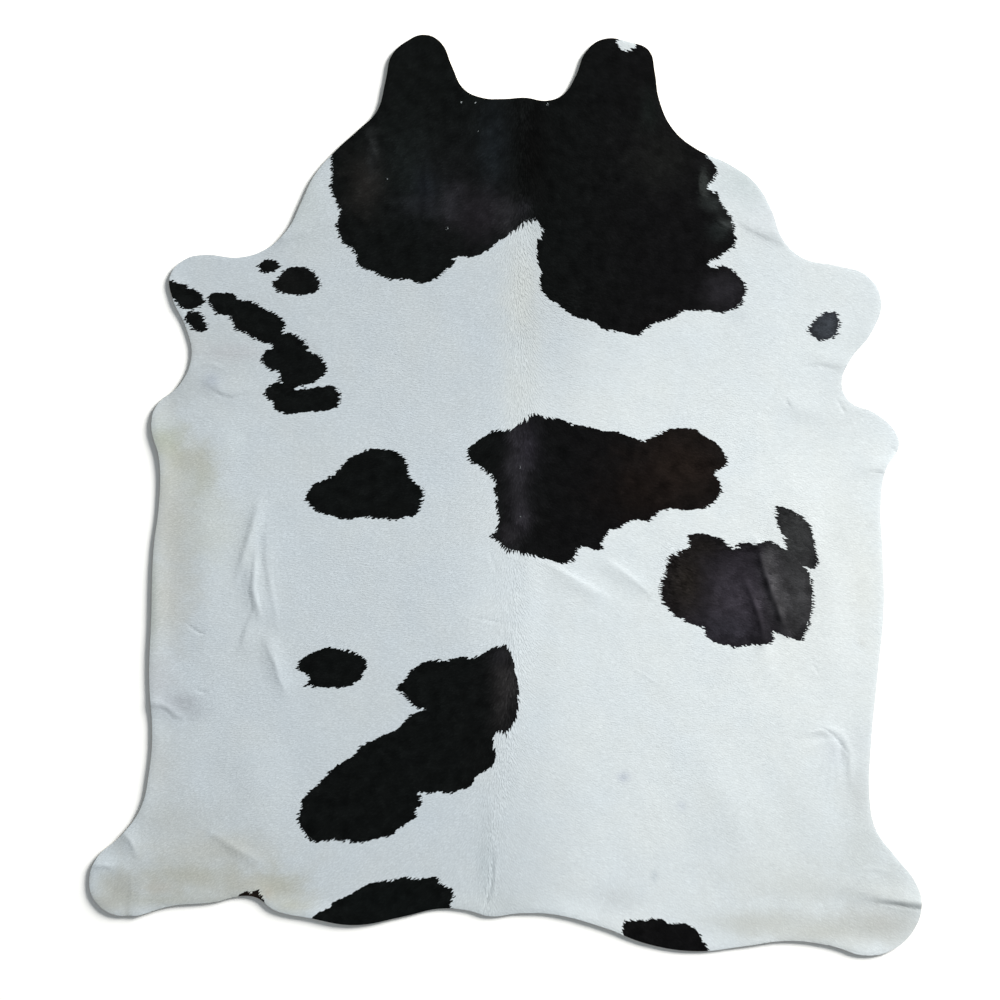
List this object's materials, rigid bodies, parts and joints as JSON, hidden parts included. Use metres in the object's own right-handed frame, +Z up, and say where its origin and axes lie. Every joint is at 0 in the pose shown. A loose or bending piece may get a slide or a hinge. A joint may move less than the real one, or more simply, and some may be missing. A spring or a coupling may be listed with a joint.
{
  "type": "cowhide rug",
  "caption": "Hair-on cowhide rug lying flat: a whole hide with neck, leg and tail outline, soft creases and black patches on a white coat.",
  "frame": {"origin": "on the floor, under the middle of the hide's outline", "axes": "+Y along the spine towards the neck, +X towards the right hand as seen from above, +Z up from the floor"},
  "size_m": [1.996, 2.208, 0.0175],
  "materials": {
    "white_coat": "short, soft, slightly glossy hair lying flat along the body, white with a cool tint and beige towards the legs",
    "black_coat": "the same short hair in black, glossier, with a brown tint in places",
    "flesh_side": "pale undyed suede on the underside and at the cut edge"
  },
  "bodies": {
    "root": {"hide": "white_coat"}
  },
  "joints": []
}
